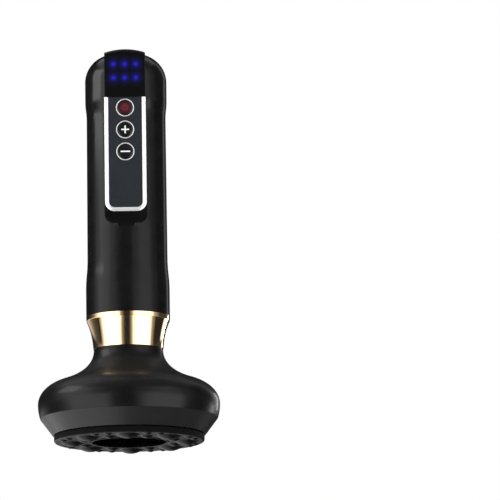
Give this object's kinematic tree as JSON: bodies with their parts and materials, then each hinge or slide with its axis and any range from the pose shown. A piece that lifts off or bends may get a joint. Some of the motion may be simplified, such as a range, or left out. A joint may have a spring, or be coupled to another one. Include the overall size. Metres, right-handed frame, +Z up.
{
  "type": "electric gua sha device",
  "caption": "Handheld massager: round head with a domed pad around a suction cup under a bell, a gold collar and an upright black handle with press keys and a lamp window",
  "frame": {"origin": "on the axis of the handle, level with the tips of the massage domes that the part stands on", "axes": "+Z up along the handle, the keys and the lamp window face -Y"},
  "size_m": [0.0916, 0.0914, 0.2009],
  "materials": {
    "black_abs": "injection-moulded ABS, high gloss black",
    "rim_abs": "injection-moulded ABS, satin-gloss black bevel",
    "pad_silicone": "moulded silicone, glossy black",
    "cup_abs": "moulded ABS, black",
    "gold_plate": "polished rose-gold plating",
    "smoked_lens": "smoked acrylic, polished",
    "panel_lacquer": "dark grey lacquered plate",
    "chrome_trim": "bright chrome plating",
    "key_abs": "moulded key cap with a clear top coat",
    "board_laminate": "green solder mask on glass laminate",
    "chip_resin": "black moulding resin",
    "switch_plastic": "black nylon with a white plunger",
    "plunger_plastic": "white nylon",
    "lamp_blue": "blue lamp under clear resin",
    "guide_white": "white reflector plastic",
    "screw_steel": "zinc-plated steel",
    "cell_sleeve": "metal can in a blue shrink sleeve",
    "cradle_plastic": "black moulded cradle",
    "nickel_strip": "nickel strip",
    "socket_steel": "drawn stainless steel",
    "pump_plastic": "natural white engineering plastic",
    "diaphragm_rubber": "black moulded rubber",
    "motor_steel": "zinc-plated drawn steel",
    "magnet_ferrite": "sintered ferrite",
    "winding_copper": "enamelled copper winding",
    "hub_brass": "turned brass",
    "sleeve_rubber": "black foam rubber",
    "hose_silicone": "milky silicone tube",
    "heater_foil": "etched foil under amber film",
    "filter_felt": "white felt"
  },
  "bodies": {
    "housing": {"massage_pad": "pad_silicone", "head_rim": "rim_abs", "suction_cup": "cup_abs", "cup_seal": "sleeve_rubber", "head_screws": "screw_steel", "filter_disc": "filter_felt", "port_nipple": "pump_plastic", "heater_film": "heater_foil", "head_shell": "black_abs", "collar": "gold_plate", "display_lens": "smoked_lens", "front_shell": "black_abs", "rear_shell": "black_abs", "key_panel": "panel_lacquer", "panel_trim": "chrome_trim", "button_rings": "chrome_trim", "tact_switches": "switch_plastic", "main_board": "board_laminate", "board_chips": "chip_resin", "board_screws": "screw_steel", "indicator_leds": "lamp_blue", "light_guide": "guide_white", "battery_cell": "cell_sleeve", "battery_cradle": "cradle_plastic", "battery_tabs": "nickel_strip", "charge_board": "board_laminate", "charging_socket": "socket_steel", "socket_tongue": "switch_plastic", "pump_head": "pump_plastic", "diaphragm": "diaphragm_rubber", "wobble_plate": "pump_plastic", "pump_housing": "pump_plastic", "pump_screws": "screw_steel", "motor_case": "motor_steel", "motor_magnets": "magnet_ferrite", "motor_end_cap": "switch_plastic", "motor_terminals": "nickel_strip", "pump_sleeve": "sleeve_rubber", "valve_body": "pump_plastic", "valve_coil": "winding_copper", "valve_spring": "screw_steel", "tee_connector": "pump_plastic", "cup_hose": "hose_silicone", "pump_hose": "hose_silicone", "valve_hose": "hose_silicone"},
    "power_key": {"power_button": "key_abs", "power_plunger": "plunger_plastic"},
    "plus_key": {"plus_button": "key_abs", "plus_plunger": "plunger_plastic"},
    "minus_key": {"minus_button": "key_abs", "minus_plunger": "plunger_plastic"},
    "pump_rotor": {"motor_shaft": "screw_steel", "armature": "winding_copper", "eccentric_hub": "hub_brass"},
    "valve_core": {"valve_plunger": "screw_steel"}
  },
  "joints": [
    {"name": "power_press", "type": "slide", "parent": "housing", "child": "power_key", "axis": [0, 1, 0], "range_m": [0, 0.0004], "stiffness_N_per_m": 1500, "springref_m": -0.0002},
    {"name": "plus_press", "type": "slide", "parent": "housing", "child": "plus_key", "axis": [0, 1, 0], "range_m": [0, 0.0004], "stiffness_N_per_m": 1500, "springref_m": -0.0002},
    {"name": "minus_press", "type": "slide", "parent": "housing", "child": "minus_key", "axis": [0, 1, 0], "range_m": [0, 0.0004], "stiffness_N_per_m": 1500, "springref_m": -0.0002},
    {"name": "rotor_spin", "type": "hinge", "parent": "housing", "child": "pump_rotor", "pos_m": [0, 0, 0.087], "axis": [0, 0, 1], "continuous": true},
    {"name": "valve_lift", "type": "slide", "parent": "housing", "child": "valve_core", "axis": [0, 0, 1], "range_m": [0, 0.0006], "stiffness_N_per_m": 300, "springref_m": -0.0008, "deforming": ["valve_spring"]}
  ]
}
